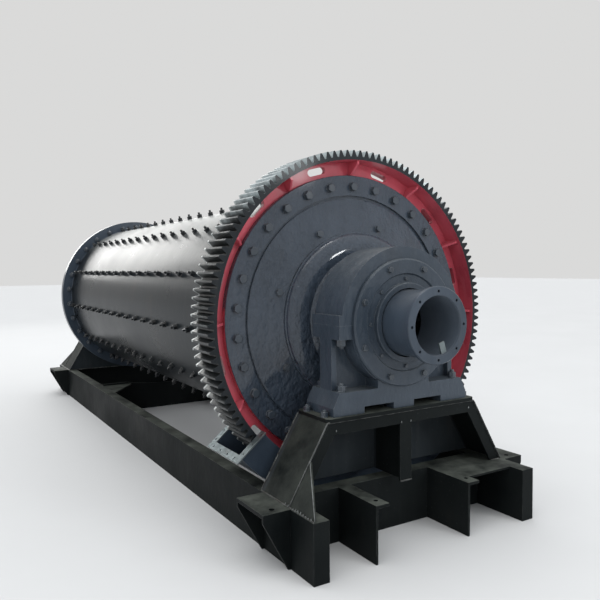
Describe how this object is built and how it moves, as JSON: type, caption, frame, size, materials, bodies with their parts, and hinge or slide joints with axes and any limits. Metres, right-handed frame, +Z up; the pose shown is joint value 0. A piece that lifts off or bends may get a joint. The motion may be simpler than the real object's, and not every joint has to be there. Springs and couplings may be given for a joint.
{
  "type": "ball mill",
  "caption": "Ball mill on a welded base frame: plated drum with ring gear turning on hollow trunnions in split bearings on steel stands.",
  "frame": {"origin": "on the floor below the middle of the mill", "axes": "X to the right seen from the gear end, Y along the drum away from the gear, Z up"},
  "size_m": [2.032, 6.024, 2.216],
  "materials": {
    "slate_paint": "glossy slate blue machine paint with dust and runs",
    "black_paint": "satin black paint with dust on the flats",
    "red_paint": "satin red paint",
    "bare_steel": "machined bare steel with a film of oil",
    "bearing_bronze": "plain bronze"
  },
  "bodies": {
    "frame": {"bearing_foot_near": "slate_paint", "bearing_foot_far": "slate_paint", "bearing_cap_near": "slate_paint", "bearing_cap_far": "slate_paint", "bearing_liner_near": "bearing_bronze", "bearing_liner_far": "bearing_bronze", "seal_cover_near": "slate_paint", "seal_cover_far": "slate_paint", "stand_top_near": "black_paint", "stand_top_far": "black_paint", "stand_frame_near": "black_paint", "stand_frame_far": "black_paint", "cross_beam_near": "black_paint", "cross_beam_far": "black_paint", "stub_beams_near": "black_paint", "stub_beams_far": "black_paint", "side_beam_left": "black_paint", "side_beam_right": "black_paint", "outriggers_near": "black_paint", "outriggers_far": "black_paint", "deck_plate": "black_paint", "tie_beam": "black_paint", "corner_plates": "black_paint", "gear_guard": "slate_paint", "guard_flanges": "bare_steel", "guard_feet": "slate_paint"},
    "drum": {"shell": "slate_paint", "shell_flange_near": "slate_paint", "shell_flange_far": "slate_paint", "head_near": "slate_paint", "head_far": "slate_paint", "trunnion_near": "bare_steel", "trunnion_far": "bare_steel", "feed_spout": "slate_paint", "discharge_spout": "slate_paint", "feed_paddle": "bare_steel", "ring_gear": "bare_steel", "gear_web": "red_paint"}
  },
  "joints": [
    {"name": "mill_spin", "type": "hinge", "parent": "frame", "child": "drum", "pos_m": [0, 0, 1.2], "axis": [0, 1, 0], "continuous": true}
  ]
}
